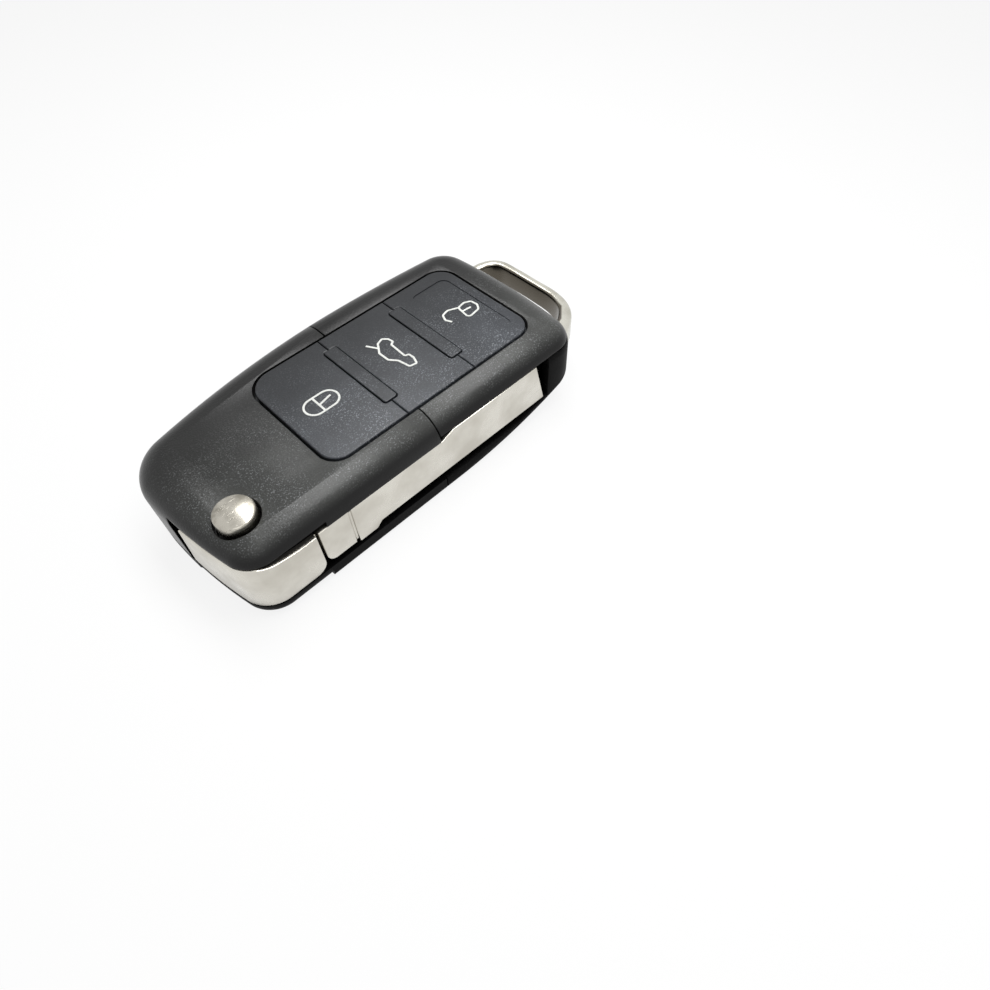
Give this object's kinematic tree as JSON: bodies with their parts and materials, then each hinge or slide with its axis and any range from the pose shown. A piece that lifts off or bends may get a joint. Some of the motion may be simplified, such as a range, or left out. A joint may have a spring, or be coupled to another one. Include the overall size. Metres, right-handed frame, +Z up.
{
  "type": "hidden storage box",
  "caption": "Decoy flip-key fob with a hidden pill compartment: the head pulls off, the lid uncovers a tray, the blank blade flips out and the keys press.",
  "frame": {"origin": "bottom centre of the closed fob's bounding box", "axes": "+X from the head to the keyring loop, -Y the blade's side, +Z up out of the keys"},
  "size_m": [0.0813, 0.037, 0.0183],
  "materials": {
    "shell_plastic": "fine grain, slight sheen",
    "inner_plastic": "moulded",
    "frame_plastic": "moulded",
    "key_plastic": "satin",
    "web_rubber": "matte",
    "icon_print": "printed",
    "bright_metal": "satin plated",
    "button_metal": "polished, lightly worn",
    "hub_metal": "blackened die casting",
    "spring_steel": "plain"
  },
  "bodies": {
    "head_half": {"head_top_shell": "shell_plastic", "head_bottom_shell": "shell_plastic"},
    "flip_blade": {"hub": "hub_metal", "hub_skin": "bright_metal", "dummy_blade": "bright_metal", "roll_pin": "spring_steel", "flip_spring": "spring_steel"},
    "push_button": {"flip_button": "button_metal"},
    "remote_half": {"button_shell": "shell_plastic", "compartment_tray": "inner_plastic", "button_membrane": "web_rubber", "button_frame": "frame_plastic"},
    "lock_key": {"lock_button": "key_plastic", "lock_icon": "icon_print"},
    "trunk_key": {"trunk_button": "key_plastic", "trunk_icon": "icon_print"},
    "unlock_key": {"unlock_button": "key_plastic", "unlock_icon": "icon_print"},
    "lid_half": {"lid": "shell_plastic", "keyring_loop": "bright_metal"}
  },
  "joints": [
    {"name": "remote_slide", "type": "slide", "parent": "head_half", "child": "remote_half", "axis": [1, 0, 0], "range_m": [0, 0.05]},
    {"name": "lid_slide", "type": "slide", "parent": "remote_half", "child": "lid_half", "axis": [1, 0, 0], "range_m": [0, 0.05]},
    {"name": "blade_flip", "type": "hinge", "parent": "head_half", "child": "flip_blade", "pos_m": [-0.0333, -0.0105, 0.0085], "axis": [0, 0, -1], "range_deg": [0, 180]},
    {"name": "flip_button_press", "type": "slide", "parent": "flip_blade", "child": "push_button", "axis": [0, 0, -1], "range_m": [0, 0.0015], "stiffness_N_per_m": 800, "deforming": ["flip_spring"]},
    {"name": "lock_button_press", "type": "slide", "parent": "remote_half", "child": "lock_key", "axis": [0, 0, -1], "range_m": [0, 0.0005], "stiffness_N_per_m": 1500},
    {"name": "trunk_button_press", "type": "slide", "parent": "remote_half", "child": "trunk_key", "axis": [0, 0, -1], "range_m": [0, 0.0005], "stiffness_N_per_m": 1500},
    {"name": "unlock_button_press", "type": "slide", "parent": "remote_half", "child": "unlock_key", "axis": [0, 0, -1], "range_m": [0, 0.0005], "stiffness_N_per_m": 1500}
  ]
}
